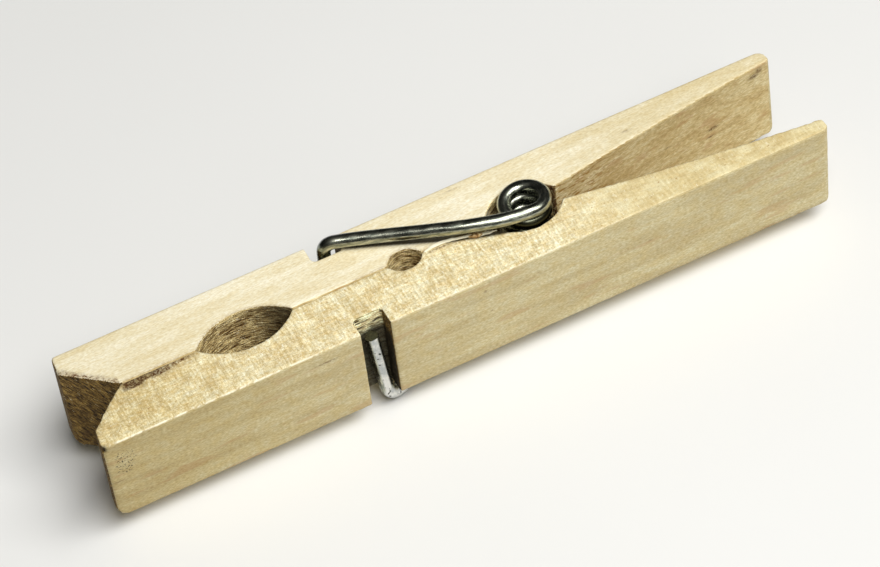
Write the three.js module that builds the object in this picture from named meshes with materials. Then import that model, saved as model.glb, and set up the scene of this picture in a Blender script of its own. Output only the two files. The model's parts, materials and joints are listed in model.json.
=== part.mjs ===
// Wooden spring clothespin, lying on its side.
// Millimetres. +X runs from the jaw to the handle, +Y from the front half to the back half, and +Z is up,
// along the coil. The origin is under the middle of the pin, on the surface that it lies on.
// Stations along the pin are measured from the tip of the jaw.

import * as THREE from 'three';

// ---- driving dimensions ----

const length = 72;              // tip of the jaw to end of the handle
const halfThickness = 6;        // parting plane to outer face
const woodWidth = 9.6;          // bottom face to top face
const woodHeight = 2.171;       // the spring holds the bottom face this far off the surface
const partingGap = 0.1;         // between the two halves when closed

const jaw = { bluntHeight: 2.2, mouth: 4.4, edgeRadius: 0.5 };
const lineHole = { station: 16.35, halfChord: 4.65, depth: 2.15 };
const smallHole = { station: 32.1, halfChord: 1.72, depth: 1.15 };
const seat = { station: 44.1, radius: 4.2, depth: 2.7 };
const handle = { endHeight: 1.55, startHeight: 0.85, hollow: 0.2, innerRadius: 0.35, outerRadius: 0.7 };
const notch = { start: 24.9, end: 27.75, depth: 1.98, coveRadius: 0.45 };

const wire = { diameter: 1.28, sides: 10, steps: 240 };
const coil = { station: 44.2, radius: 1.87, topHeight: 10.83, bottomHeight: -1.55, wholeTurns: 9 };
const leaveAngle = THREE.MathUtils.degToRad(85);    // where the coil opens into its arms, from the X axis
const legOffset = 4.85;                             // parting plane to the axis of a leg in its notch
const armCurve = { fromBend: 0.333, fromCoil: 0.267 };    // pull of each end on the arm, as shares of its length

// Each end of the wire: the corner where its arm turns into its leg, and the cut end of the leg.
// Heights are above the bottom face of the wood. The coil's slope times keptSlope is the arm's slope at the coil:
// the lower arm arches up a little, so that the pin lies steadily on the coil, the lower bend and one jaw.
const upperEnd = {
  cornerStation: 26.4,
  cornerHeight: 10.4,
  cutStation: 26.1,
  cutHeight: 1.6,
  bend: 1.2,
  keptSlope: 1,
};
const lowerEnd = {
  cornerStation: 27.0,
  cornerHeight: -1.3,
  cutStation: 26.2,
  cutHeight: 7.55,
  bend: 1.7,
  keptSlope: -0.5,
};

const arcSegments = 14;         // facets on each curve of the wooden halves
const routeDivisions = 4000;    // even spacing of the steps along the wire

// ---- materials ----

const paleWood = new THREE.MeshStandardMaterial({ color: 0xe6d3a5, roughness: 0.75, metalness: 0 });
const steel = new THREE.MeshStandardMaterial({ color: 0x5c605e, roughness: 0.3, metalness: 1 });

// ---- wooden halves ----

const atStation = (station) => station - length / 2;
const inner = partingGap / 2;

// A round cut into the parting face: the arc of a cutter that is wider than the cut.
function cutArc(outline, { station, halfChord, depth }) {
  const radius = (halfChord ** 2 + depth ** 2) / (2 * depth);
  const rise = Math.asin((radius - depth) / radius);
  outline.lineTo(atStation(station) - halfChord, inner);
  outline.absarc(atStation(station), inner + depth - radius, radius, Math.PI - rise, rise, true);
}

// A square corner taken off by a quarter round. The corner is given with its arrival and leaving directions.
function roundCorner(outline, x, y, radius, [inX, inY], [outX, outY]) {
  outline.lineTo(x - inX * radius, y - inY * radius);
  outline.quadraticCurveTo(x, y, x + outX * radius, y + outY * radius);
}

function halfOutline() {
  const outer = halfThickness;
  const tip = atStation(0);
  const end = atStation(length);
  const seatCentre = inner + seat.depth - seat.radius;
  const seatStart = Math.PI - Math.asin((inner - seatCentre) / seat.radius);
  const seatEnd = Math.asin((handle.startHeight - seatCentre) / seat.radius);
  const handleStart = atStation(seat.station) + seat.radius * Math.cos(seatEnd);
  const handleEnd = outer - handle.endHeight;
  const handleMiddle = (handle.startHeight + handleEnd) / 2 + 2 * handle.hollow;

  const outline = new THREE.Shape();
  outline.moveTo(atStation(jaw.mouth), inner);
  cutArc(outline, lineHole);
  cutArc(outline, smallHole);
  outline.absarc(atStation(seat.station), seatCentre, seat.radius, seatStart, seatEnd, true);
  outline.quadraticCurveTo((handleStart + end) / 2, handleMiddle, end - handle.innerRadius, handleEnd);
  outline.quadraticCurveTo(end, handleEnd, end, handleEnd + handle.innerRadius);
  roundCorner(outline, end, outer, handle.outerRadius, [0, 1], [-1, 0]);

  outline.lineTo(atStation(notch.end), outer);
  outline.lineTo(atStation(notch.end), outer - notch.depth);
  roundCorner(outline, atStation(notch.start), outer - notch.depth, notch.coveRadius, [-1, 0], [0, 1]);
  outline.lineTo(atStation(notch.start), outer);

  roundCorner(outline, tip, outer, jaw.edgeRadius, [-1, 0], [0, -1]);
  outline.lineTo(tip, outer - jaw.bluntHeight);
  outline.closePath();
  return outline;
}

const halfGeometry = new THREE.ExtrudeGeometry(halfOutline(), {
  depth: woodWidth,
  bevelEnabled: false,
  curveSegments: arcSegments,
});
halfGeometry.translate(0, 0, -woodWidth / 2);

// The two halves are one shape: the front one is the back one turned over about the length of the pin.
function woodenHalf(name, turn) {
  const half = new THREE.Mesh(halfGeometry, paleWood);
  half.name = name;
  half.position.z = woodHeight + woodWidth / 2;
  half.rotation.x = turn;
  return half;
}

// ---- spring ----

// The coil, wound clockwise as it rises, so that it winds anticlockwise on its way down from the top arm.
class CoilCurve extends THREE.Curve {
  constructor() {
    super();
    this.sweep = 2 * (Math.PI * coil.wholeTurns + leaveAngle);
    this.slope = (coil.bottomHeight - coil.topHeight) / this.sweep;
  }

  getPoint(t, target = new THREE.Vector3()) {
    const angle = -leaveAngle + this.sweep * t;
    return target.set(
      atStation(coil.station) + coil.radius * Math.cos(angle),
      coil.radius * Math.sin(angle),
      woodHeight + coil.topHeight + this.slope * this.sweep * t,
    );
  }

  getTangent(t, target = new THREE.Vector3()) {
    const angle = -leaveAngle + this.sweep * t;
    return target.set(
      -coil.radius * Math.sin(angle),
      coil.radius * Math.cos(angle),
      this.slope,
    ).normalize();
  }
}

// One end of the wire, as curves that run from the cut end of the leg to the coil.
function endCurves(wireEnd, side, coilPoint, coilTangent) {
  const { cornerStation, cornerHeight, cutStation, cutHeight, bend, keptSlope } = wireEnd;
  const cut = new THREE.Vector3(atStation(cutStation), side * legOffset, woodHeight + cutHeight);
  const corner = new THREE.Vector3(atStation(cornerStation), side * legOffset, woodHeight + cornerHeight);
  const legWay = corner.clone().sub(cut).normalize();
  const armWay = coilPoint.clone().sub(corner).normalize();
  const bendStart = corner.clone().addScaledVector(legWay, -bend);
  const bendEnd = corner.clone().addScaledVector(armWay, bend);
  const armLength = bendEnd.distanceTo(coilPoint);
  const armOut = bendEnd.clone().addScaledVector(armWay, armCurve.fromBend * armLength);
  const coilWay = coilTangent.clone().setZ(coilTangent.z * keptSlope);
  const armIn = coilPoint.clone().addScaledVector(coilWay, -armCurve.fromCoil * armLength);
  return [
    new THREE.LineCurve3(cut, bendStart),
    new THREE.QuadraticBezierCurve3(bendStart, corner, bendEnd),
    new THREE.CubicBezierCurve3(bendEnd, armOut, armIn, coilPoint),
  ];
}

// The same curves run backwards, from the coil to the cut end.
function reversed(curves) {
  return curves.reverse().map((curve) => {
    if (curve.isLineCurve3) return new THREE.LineCurve3(curve.v2, curve.v1);
    if (curve.isQuadraticBezierCurve3) return new THREE.QuadraticBezierCurve3(curve.v2, curve.v1, curve.v0);
    return new THREE.CubicBezierCurve3(curve.v3, curve.v2, curve.v1, curve.v0);
  });
}

function springRoute() {
  const turns = new CoilCurve();
  const top = endCurves(upperEnd, 1, turns.getPoint(0), turns.getTangent(0));
  const bottom = endCurves(lowerEnd, -1, turns.getPoint(1), turns.getTangent(1).negate());
  const route = new THREE.CurvePath();
  [...top, turns, ...reversed(bottom)].forEach((curve) => route.add(curve));
  route.arcLengthDivisions = routeDivisions;
  return route;
}

function wireSpring() {
  const section = new THREE.Shape();
  section.absarc(0, 0, wire.diameter / 2, 0, 2 * Math.PI, false);
  const pointsPerCurveSegment = 2;
  const geometry = new THREE.ExtrudeGeometry(section, {
    steps: wire.steps,
    curveSegments: wire.sides / pointsPerCurveSegment,
    bevelEnabled: false,
    extrudePath: springRoute(),
  });
  const spring = new THREE.Mesh(geometry, steel);
  spring.name = 'spring';
  return spring;
}

// ---- assembly ----

const clothespin = new THREE.Group();
clothespin.add(woodenHalf('back_half', 0));
clothespin.add(woodenHalf('front_half', Math.PI));
clothespin.add(wireSpring());

export default clothespin;
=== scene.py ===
"""Wooden spring clothespin: two sawn halves and a wound steel spring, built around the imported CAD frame.

Shapes are modelled in millimetres and scaled to metres at the end. Places on the wood are given as
station (along the pin, from the tip of the jaw), depth (from the parting plane towards an outer face)
and height (above the bottom face of the wood).
"""

import itertools
import json
import math
from types import SimpleNamespace as Named

import bmesh
import bpy
import numpy as np
from mathutils import Matrix, Quaternion, Vector


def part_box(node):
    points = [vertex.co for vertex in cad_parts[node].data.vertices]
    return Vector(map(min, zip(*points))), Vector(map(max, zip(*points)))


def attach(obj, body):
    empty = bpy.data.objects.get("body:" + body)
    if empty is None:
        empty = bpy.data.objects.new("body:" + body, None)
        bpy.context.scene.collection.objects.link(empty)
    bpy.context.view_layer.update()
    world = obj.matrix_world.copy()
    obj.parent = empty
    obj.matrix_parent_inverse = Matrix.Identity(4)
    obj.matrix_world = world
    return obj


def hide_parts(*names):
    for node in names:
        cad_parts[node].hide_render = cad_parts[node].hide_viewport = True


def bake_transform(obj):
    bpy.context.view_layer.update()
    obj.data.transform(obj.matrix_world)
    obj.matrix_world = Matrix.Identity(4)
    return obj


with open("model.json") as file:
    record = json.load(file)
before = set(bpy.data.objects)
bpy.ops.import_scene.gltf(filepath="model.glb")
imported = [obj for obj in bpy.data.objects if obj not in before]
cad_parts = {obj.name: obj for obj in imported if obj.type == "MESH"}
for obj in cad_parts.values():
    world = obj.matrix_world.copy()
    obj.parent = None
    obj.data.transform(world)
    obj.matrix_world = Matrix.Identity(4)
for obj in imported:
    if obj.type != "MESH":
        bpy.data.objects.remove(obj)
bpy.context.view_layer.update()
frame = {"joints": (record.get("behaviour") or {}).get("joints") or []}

MM = 0.001

# ---- dimensions, in millimetres ----

wood_low, wood_high = (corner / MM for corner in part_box("front_half"))
LENGTH = wood_high.x - wood_low.x
WOOD_WIDTH = wood_high.z - wood_low.z
BASE = wood_low.z
OUTER = -wood_low.y
PRESSED = 0.03    # how much nearer to the parting plane than in CAD: the halves touch
INNER = -wood_high.y - PRESSED
TIP = wood_low.x

JAW = Named(blunt=2.2, mouth=4.4, edge=0.5)
LINE_HOLE = Named(station=16.35, half_chord=4.65, depth=2.15)
SMALL_HOLE = Named(station=32.1, half_chord=1.72, depth=1.15)
SEAT = Named(station=44.1, radius=4.2, depth=2.7)
HANDLE = Named(end=1.5, start=0.85, hollow=0.2, inner_radius=0.35, outer_radius=1.1)
NOTCH = Named(start=24.9, end=27.75, depth=1.98, cove=0.45)
# The corners' radii, seen from the outer face: jaw_low is 1.0 on the back half and 1.7 on the front half.
CORNERS = Named(jaw_low={1: 1.0, -1: 1.7}, jaw_top=0.3, handle_low=0.9, handle_top=0.4)
# How far each end is sawn out of square. The back half's is at the bottom and at the top.
LEAN = Named(jaw=0.16, front_share=2, reach=3.0, back_end=(0.32, 0.08), front_end=0.42, end_reach=12.0)

PIVOT = Vector(frame["joints"][0]["pos_m"]) / MM
WIRE_RADIUS = 0.64
COIL = Named(radius=1.87, top=10.83, bottom=-1.55, turns=9)
LEAVE_ANGLE = math.radians(85)    # where the coil opens into its arms
LEG_DEPTH = 4.85
ARM_PULL = Named(bend=0.333, coil=0.267)
UPPER_END = Named(corner=(26.4, 10.4), cut=(26.1, 1.6), bend=1.2, kept_slope=1.0)
LOWER_END = Named(corner=(27.0, -1.3), cut=(26.2, 7.55), bend=1.7, kept_slope=-0.5)

VOXEL = 0.15
SMOOTH_ROUNDS = 2
ARC_STEPS = 40
CORNER_STEPS = 8
INNER_CORNER_STEPS = 6
RING_SIDES = 24
WIRE_STEP = 0.12
LEAST = 1e-6    # keeps divisions away from zero

# ---- small tools ----


def smoothstep(value, low, high):
    """0 up to low, 1 from high on, and smooth in between."""
    share = np.clip((value - low) / (high - low), 0, 1)
    return share * share * (3 - 2 * share)


# The constants of the whole-number hash under the noise.
AXIS_PRIMES = (374761393, 668265263, 1442695041)
SEED_PRIME = 2654435761
MIX_PRIME = 1274126177
LOW_BITS = 0xFFFFFFFF
OCTAVES = 3


def noise(points, seed):
    """Smooth value noise from -1 to 1 at each row of points."""
    cell = np.floor(points).astype(np.int64)
    part = points - cell
    fade = part * part * (3 - 2 * part)
    total = np.zeros(len(points))
    for corner in itertools.product((0, 1), repeat=3):
        at = cell + np.array(corner)
        key = (at * np.array(AXIS_PRIMES)).sum(1) + seed * SEED_PRIME
        key = ((key & LOW_BITS) ^ ((key & LOW_BITS) >> 13)) * MIX_PRIME
        key = (key & LOW_BITS) ^ ((key & LOW_BITS) >> 16)
        weight = np.prod(np.where(corner, fade, 1 - fade), axis=1)
        total += weight * (key / LOW_BITS * 2 - 1)
    return total


def layered(points, scale, seed):
    """Noise with finer and fainter layers, where scale is cells per millimetre along each axis."""
    layers = [
        noise(points * np.array(scale) * 2**octave, seed + octave) / 2**octave
        for octave in range(OCTAVES)
    ]
    return sum(layers) / sum(1 / 2**octave for octave in range(OCTAVES))


def relief_of(layers, spot):
    """Layers of noise added up, each given as (height, cells per millimetre, seed)."""
    return sum(height * layered(spot, scale, seed) for height, scale, seed in layers)


def arc(centre, radius, start, end):
    """Points along a circle's arc, clockwise where end is below start."""
    angles = np.linspace(start, end, ARC_STEPS)
    return [(centre[0] + radius * math.cos(a), centre[1] + radius * math.sin(a)) for a in angles]


def curve(*controls, steps=ARC_STEPS):
    """Points along a Bezier curve."""
    share = np.linspace(0, 1, steps)[:, None]
    order = len(controls) - 1
    return sum(
        math.comb(order, power) * (1 - share) ** (order - power) * share**power * np.array(control, float)
        for power, control in enumerate(controls)
    )


def new_object(name, mesh):
    piece = bpy.data.objects.new(name, mesh)
    bpy.context.scene.collection.objects.link(piece)
    return piece


def rows(elements, field):
    """Three numbers of each of a mesh's elements, one row each."""
    found = np.empty(len(elements) * 3)
    elements.foreach_get(field, found)
    return found.reshape(-1, 3)


def set_coordinates(mesh, points):
    mesh.vertices.foreach_set("co", points.astype(np.float32).ravel())
    mesh.update()


def set_attribute(mesh, name, values):
    mesh.attributes.new(name, "FLOAT", "POINT").data.foreach_set("value", values.astype(np.float32))


def finished(name, mesh):
    """A piece of the object from a mesh in millimetres."""
    mesh.polygons.foreach_set("use_smooth", np.ones(len(mesh.polygons), bool))
    mesh.transform(Matrix.Scale(MM, 4))
    return new_object(name, mesh)


def tube_faces(count, sides):
    """The faces between count rings of sides vertices each."""
    faces = []
    for step in range(count - 1):
        here, there = step * sides, (step + 1) * sides
        for side in range(sides):
            after = (side + 1) % sides
            faces.append((here + side, here + after, there + after, there + side))
    return faces


def unit(vector):
    return vector / np.linalg.norm(vector)


def places(points, side):
    """Station, depth and height of each point."""
    return points[:, 0] - TIP, side * points[:, 1], points[:, 2] - BASE


# ---- the wood's shape ----


def cut_radius(cut):
    return (cut.half_chord**2 + cut.depth**2) / (2 * cut.depth)


def cut_arc(cut):
    """A round cut into the parting face, by a cutter that is wider than the cut."""
    radius = cut_radius(cut)
    rise = math.asin((radius - cut.depth) / radius)
    return arc((cut.station, INNER + cut.depth - radius), radius, math.pi - rise, rise)


def round_corner(at, radius, arrive, leave):
    """A square corner taken off by a quarter round."""
    at, arrive, leave = (np.array(p, float) for p in (at, arrive, leave))
    return curve(at - arrive * radius, at, at + leave * radius, steps=CORNER_STEPS)


def half_outline():
    """A half's outline as (station, depth): the CAD's, with the handle's end a little rounder."""
    seat_centre = INNER + SEAT.depth - SEAT.radius
    seat_start = math.pi - math.asin((INNER - seat_centre) / SEAT.radius)
    seat_end = math.asin((HANDLE.start - seat_centre) / SEAT.radius)
    handle_start = SEAT.station + SEAT.radius * math.cos(seat_end)
    handle_end = OUTER - HANDLE.end
    handle_middle = (HANDLE.start + handle_end) / 2 + 2 * HANDLE.hollow
    corner_start = (LENGTH - HANDLE.inner_radius, handle_end)
    corner_end = (LENGTH, handle_end + HANDLE.inner_radius)
    floor = OUTER - NOTCH.depth
    parts = [
        [(JAW.mouth, INNER)],
        cut_arc(LINE_HOLE),
        cut_arc(SMALL_HOLE),
        arc((SEAT.station, seat_centre), SEAT.radius, seat_start, seat_end),
        curve((handle_start, HANDLE.start), ((handle_start + LENGTH) / 2, handle_middle), corner_start)[1:],
        curve(corner_start, (LENGTH, handle_end), corner_end, steps=INNER_CORNER_STEPS)[1:],
        round_corner((LENGTH, OUTER), HANDLE.outer_radius, (0, 1), (-1, 0)),
        [(NOTCH.end, OUTER), (NOTCH.end, floor)],
        round_corner((NOTCH.start, floor), NOTCH.cove, (-1, 0), (0, 1)),
        [(NOTCH.start, OUTER)],
        round_corner((0, OUTER), JAW.edge, (-1, 0), (0, -1)),
        [(0, OUTER - JAW.blunt)],
    ]
    return [tuple(point) for part in parts for point in part]


def block(side):
    """A half as a plain block. side is 1 for the back half and -1 for the front half."""
    mesh = bpy.data.meshes.new("block")
    build = bmesh.new()
    ring = [build.verts.new((TIP + s, side * d, BASE)) for s, d in half_outline()]
    face = build.faces.new(ring)
    grown = bmesh.ops.extrude_face_region(build, geom=[face])
    top = [item for item in grown["geom"] if isinstance(item, bmesh.types.BMVert)]
    bmesh.ops.translate(build, verts=top, vec=(0, 0, WOOD_WIDTH))
    bmesh.ops.recalc_face_normals(build, faces=build.faces)
    build.to_mesh(mesh)
    build.free()
    return mesh


def dense(mesh):
    """The block as an even fine mesh with softened edges."""
    piece = new_object("dense", mesh)

    remesh = piece.modifiers.new("remesh", "REMESH")
    remesh.mode = "VOXEL"
    remesh.voxel_size = VOXEL

    soften = piece.modifiers.new("soften", "SMOOTH")
    soften.factor = 0.5
    soften.iterations = SMOOTH_ROUNDS

    graph = bpy.context.evaluated_depsgraph_get()
    made = bpy.data.meshes.new_from_object(piece.evaluated_get(graph))
    bpy.data.objects.remove(piece)
    return made


def sawn_ends(points, side):
    """Both ends sawn a little out of square, and rounded as seen from the outer face."""
    station, depth, height = places(points, side)
    moved = points.copy()
    near_tip = 1 - smoothstep(station, 0, LEAN.reach)
    near_end = smoothstep(station, LENGTH - LEAN.end_reach, LENGTH)
    low = 1 - height / WOOD_WIDTH
    if side > 0:
        back_off = np.clip((depth - OUTER + JAW.blunt) / JAW.blunt, 0, 1)
        end_low, end_top = LEAN.back_end
        stretch = end_top + (end_low - end_top) * low
    else:
        back_off = LEAN.front_share * np.clip((OUTER - depth) / JAW.blunt, 0, 1)
        stretch = LEAN.front_end
    moved[:, 0] += near_tip * LEAN.jaw * back_off + near_end * stretch

    end = moved[:, 0].max()
    corners = [
        (TIP, 1, BASE, 1, CORNERS.jaw_low[side]),
        (TIP, 1, BASE + WOOD_WIDTH, -1, CORNERS.jaw_top),
        (end, -1, BASE, 1, CORNERS.handle_low),
        (end, -1, BASE + WOOD_WIDTH, -1, CORNERS.handle_top),
    ]
    for x, along, z, up, radius in corners:
        centre = np.array([x + along * radius, z + up * radius])
        offset = moved[:, [0, 2]] - centre
        beyond = (offset[:, 0] * along < 0) & (offset[:, 1] * up < 0)
        reach = np.linalg.norm(offset, axis=1)
        outside = beyond & (reach > radius)
        moved[np.ix_(outside, [0, 2])] = centre + offset[outside] * (radius / reach[outside])[:, None]
    return moved


# Noise varies the tear's depth and drop by the share rough. Where it is under faintest, nothing moves.
TEAR = Named(start=34.6, deepest=41.0, end=43.5, depth=1.35, drop=1.5, rough=0.18, faintest=0.01)
TEAR_NOISE = {"scale": (0.8, 1.5, 1.5), "seed": 71}


def torn_edge(points, side):
    """The front half's inner top edge torn away between the small hole and the coil."""
    if side > 0:
        return points
    station, depth, height = places(points, side)
    share = smoothstep(station, TEAR.start, TEAR.deepest)
    rough = 1 + TEAR.rough * layered(np.stack([station, height, depth], 1), **TEAR_NOISE)
    width = np.maximum(TEAR.depth * share * rough, LEAST)
    drop = np.maximum(TEAR.drop * share * rough, LEAST)
    above = 1 - (depth - INNER) / width - (WOOD_WIDTH - height) / drop
    inside = (share > TEAR.faintest) & (above > 0) & (station < TEAR.end) & (height > WOOD_WIDTH / 2)
    # the nearest point of the slanted torn plane, which runs from (width, 0) to (0, drop) in depth and fall
    normal = np.stack([1 / width, 1 / drop], 1)
    move = above[:, None] * normal / (normal**2).sum(1)[:, None]
    moved = points.copy()
    moved[inside, 1] += side * move[inside, 0]
    moved[inside, 2] -= move[inside, 1]
    return moved


# ---- the wood's surface ----

# A surface's kind starts where its normal points this far along an axis, and is whole at the second number.
FACING = {"flat": (0.55, 0.85), "level": (0.6, 0.9), "end": (0.75, 0.95), "pressed": (0.9, 0.98)}
END_REACH = 0.8
JAW_REACH = JAW.mouth + 0.2
HANDLE_START = SEAT.station + 3.6
OUTER_SKIN = OUTER - 0.5         # what lies deeper is on the outer face
PARTING_SKIN = INNER + 0.06      # what lies less deep is on the parting face

# The cutter's marks on the jaw's bevel run towards the mouth and down.
MARKS_LEVEL, MARKS_DOWN = 0.75, 0.66

# The relief of each kind of surface: (height in millimetres, cells per millimetre, seed).
RELIEF = {
    "sawn_front": [(0.020, (2.6, 1.2, 1.2), 11), (0.018, (3.2, 3.2, 3.2), 12)],
    "sawn_back": [(0.010, (0.35, 1.6, 1.6), 14), (0.008, (2.5, 2.5, 2.5), 15)],
    "outer": [(0.010, (0.3, 1, 1.6), 16), (0.006, (2, 2, 3), 17)],
    "handle": [(0.014, (0.35, 1, 2.2), 18), (0.012, (2, 2, 3), 19)],
    "cut": [(0.040, (1.1, 1.1, 3.4), 20), (0.020, (2.6, 2.6, 0.9), 21)],
    "bevel": [(0.034, (1.2, 4.0, 4.0), 23)],
}
SAW_PITS = Named(cells=(1.9, 2.2, 1.9), seed=13, range=(0.42, 0.7), depth=0.06)
RAGGED = Named(cells=(1.8, 1.8, 1.8), seed=22, range=(0.05, 0.25), jaw=0.11, elsewhere=0.05)
RAGGED_JAW = JAW.mouth + 0.3

# Marks on the wood: (station, place across, half length, half width, strength).
FRONT_OUTER_MARKS = [
    (0.7, 4.7, 0.7, 0.07, 0.9),
    (5.5, 8.9, 0.35, 0.06, 0.5),
    (21.3, 8.1, 1.1, 0.10, 0.75),
    (30.6, 8.5, 0.30, 0.05, 0.6),
    (30.9, 8.2, 0.06, 0.40, 0.6),
    (37.0, 8.2, 0.15, 0.12, 1.0),
    (42.3, 7.7, 0.10, 0.09, 0.8),
    (37.4, 5.4, 0.10, 0.07, 0.6),
    (52.5, 6.2, 0.5, 0.07, 0.35),
    (53.5, 5.4, 0.22, 0.10, 0.5),
]
BACK_TOP_MARKS = [(56.4, 3.5, 0.45, 0.10, 0.7), (39.4, 5.3, 0.9, 0.05, 0.4)]
HANDLE_MARKS = [
    (70.2, 8.5, 0.50, 0.24, 1.0),
    (70.8, 8.9, 0.32, 0.32, 1.0),
    (65.4, 4.8, 0.55, 0.15, 1.0),
    (65.2, 3.9, 0.40, 0.09, 0.8),
    (60.3, 5.7, 0.40, 0.08, 0.5),
    (67.6, 7.7, 0.35, 0.07, 0.4),
]
PITTED_PATCH = [(1.8, 6.9, 1.4, 2.2, 1.0)]
TIP_PIT = Named(marks=[(0.12, 5.85, 0.30, 0.26, 1.0)], depth=0.3, reach_down=0.6)


def bevel_way(side):
    """The direction of the cutter's marks on the jaw's bevel: down and towards the mouth."""
    level = unit(np.array([JAW.mouth, -side * (OUTER - JAW.blunt), 0]))
    return unit(MARKS_LEVEL * level + np.array([0, 0, -MARKS_DOWN]))


def along_way(spot, side):
    """Each place as its distance along the bevel's marks and two distances across them."""
    way = bevel_way(side)
    second = unit(np.cross(way, (0, 0, 1)))
    axes = np.stack([way, second, np.cross(way, second)])
    return (spot * np.array([1, side, 1])) @ axes.T


def zone_weights(points, normals, side):
    """How much each vertex belongs to each kind of surface."""
    station, depth, _ = places(points, side)
    outward = side * normals[:, 1]
    at_end = (station < END_REACH) | (station > LENGTH - END_REACH)
    on_jaw = station < JAW_REACH
    flat = smoothstep(np.abs(normals[:, 2]), *FACING["flat"])
    outer = smoothstep(outward, *FACING["level"]) * (depth > OUTER_SKIN)
    inside = smoothstep(-outward, *FACING["level"]) * (station > HANDLE_START)
    end = smoothstep(np.abs(normals[:, 0]), *FACING["end"]) * at_end
    pressed = smoothstep(-outward, *FACING["pressed"]) * (depth < PARTING_SKIN)
    rest = np.clip(1 - flat - outer - inside - end - pressed, 0, 1)
    return {"flat": flat, "outer": outer, "handle": inside, "bevel": rest * on_jaw, "cut": rest * ~on_jaw}


def marks(along, across, found):
    """The strength of a list of marks at each vertex."""
    total = np.zeros(len(along))
    for station, middle, half_length, half_width, strength in found:
        away = ((along - station) / half_length) ** 2 + ((across - middle) / half_width) ** 2
        total = np.maximum(total, strength * np.exp(-away))
    return total


def tip_pit(station, depth, height):
    """The strength of the dent in the front half's top corner, at the tip."""
    return marks(station, depth, TIP_PIT.marks) * (height > WOOD_WIDTH - TIP_PIT.reach_down)


def relief(points, normals, side):
    """How far each vertex stands in or out of the plain shape, in millimetres."""
    station, depth, height = places(points, side)
    spot = np.stack([station, depth, height], 1)
    weight = zone_weights(points, normals, side)
    made = weight["bevel"] * relief_of(RELIEF["bevel"], along_way(spot, side))
    for zone in ("outer", "handle", "cut"):
        made += weight[zone] * relief_of(RELIEF[zone], spot)
    if side < 0:
        pits = smoothstep(layered(spot, SAW_PITS.cells, SAW_PITS.seed), *SAW_PITS.range)
        made += weight["flat"] * (relief_of(RELIEF["sawn_front"], spot) - SAW_PITS.depth * pits)
        made -= TIP_PIT.depth * tip_pit(station, depth, height)
    else:
        made += weight["flat"] * relief_of(RELIEF["sawn_back"], spot)
    on_edge = smoothstep(weight["flat"] * (1 - weight["flat"]), *RAGGED.range)
    ragged = np.where(station < RAGGED_JAW, RAGGED.jaw, RAGGED.elsewhere)
    made += ragged * on_edge * layered(spot, RAGGED.cells, RAGGED.seed)
    return made


# ---- what is painted on the wood ----

# In each step, a pair of numbers is where something starts and is whole, or starts to fade and is gone.
# Places and reaches are in millimetres, and strengths are shares of 1.

# shade holds dark marks and painted shade; stain holds red-brown stains and painted shade; frayed holds pale
# fibres and painted light
PAINTS = ("stain", "shade", "frayed", "tan", "pitted", "calm", "torn")
ROUGH_NOISE = {"scale": (1.2, 2.0, 2.0), "seed": 31}
FINE_NOISE = {"scale": (3.0, 3.0, 3.0), "seed": 32}


class Wood:
    """A half's vertices, and the strength of each paint on them."""

    def __init__(self, points, normals, side):
        self.points, self.side = points, side
        self.station, self.depth, self.height = places(points, side)
        spot = np.stack([self.station, self.depth, self.height], 1)
        self.flat, self.outer, self.handle, _, self.cut = zone_weights(points, normals, side).values()
        self.rough = layered(spot, **ROUGH_NOISE)
        self.fine = layered(spot, **FINE_NOISE)
        self.painted = {name: np.zeros(len(points)) for name in PAINTS}

    def add(self, name, strength):
        """Paints where it is stronger than what is there."""
        self.painted[name] = np.maximum(self.painted[name], strength)

    def near_top(self, reach):
        return self.height > WOOD_WIDTH - reach

    def past(self, stations):
        return smoothstep(self.station, *stations)

    def before(self, stations):
        return 1 - self.past(stations)


def stained_strip(
    wood, start=(4.0, 4.8), end=(10.0, 12.0), width=1.15, narrowing=0.08, uneven=0.35, edge=(-0.2, 0.1),
    halo=0.6, halo_stain=0.22, fading=0.04, blotches=0.9, shade=0.40, shade_end=(6, 11),
):
    """The front half's dark strip along the parting line near the jaw."""
    past_start = wood.station - start[0]
    run = wood.past(start) * wood.before(end) * wood.flat
    width = width - narrowing * past_start + uneven * wood.rough
    strip = run * (1 - smoothstep(wood.depth, width + edge[0], width + edge[1]))
    wood.add("stain", strip * (1 - fading * past_start + blotches * wood.fine))
    wood.add("stain", halo_stain * run * (1 - smoothstep(wood.depth, width, width + halo)))
    wood.add("shade", shade * strip * wood.before(shade_end))


CRACK = ((34.2, 0.34), (36.1, 0.38), (38.4, 0.66), (40.8, 1.38))


def crack(wood, width=0.09, reach=0.2, stain=0.85):
    """The front half's crack from the small hole to the coil."""
    along = (wood.station > CRACK[0][0]) & (wood.station < CRACK[-1][0]) & wood.near_top(reach)
    away = (wood.depth - np.interp(wood.station, *zip(*CRACK))) / width
    wood.add("stain", stain * along * np.exp(-(away**2)))


def pale_edge(
    wood, start=OUTER - 0.24, whole=OUTER - 0.10, blur=(0.16, 0.1), on_face=(0.3, 0.8), reach=0.12,
    jaw_end=(12, 30), jaw_share=0.55, handle=(44, 56), handle_share=0.40, gaps=(-0.35, 0.25), gap_rough=0.6,
):
    """The front half's pale line where the top meets the outer face: fraying fibres, with a painted highlight
    along the edge.
    """
    edge = smoothstep(wood.depth, start + blur[0] * wood.fine, whole + blur[1] * wood.rough)
    edge *= smoothstep(wood.flat + wood.outer, *on_face) * wood.near_top(reach)
    fainter = jaw_share * wood.past(jaw_end) + handle_share * wood.past(handle)
    # near white along the edge: fraying, and a painted highlight
    wood.add("frayed", edge * (1 - fainter) * smoothstep(wood.fine + gap_rough * wood.rough, *gaps))


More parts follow.
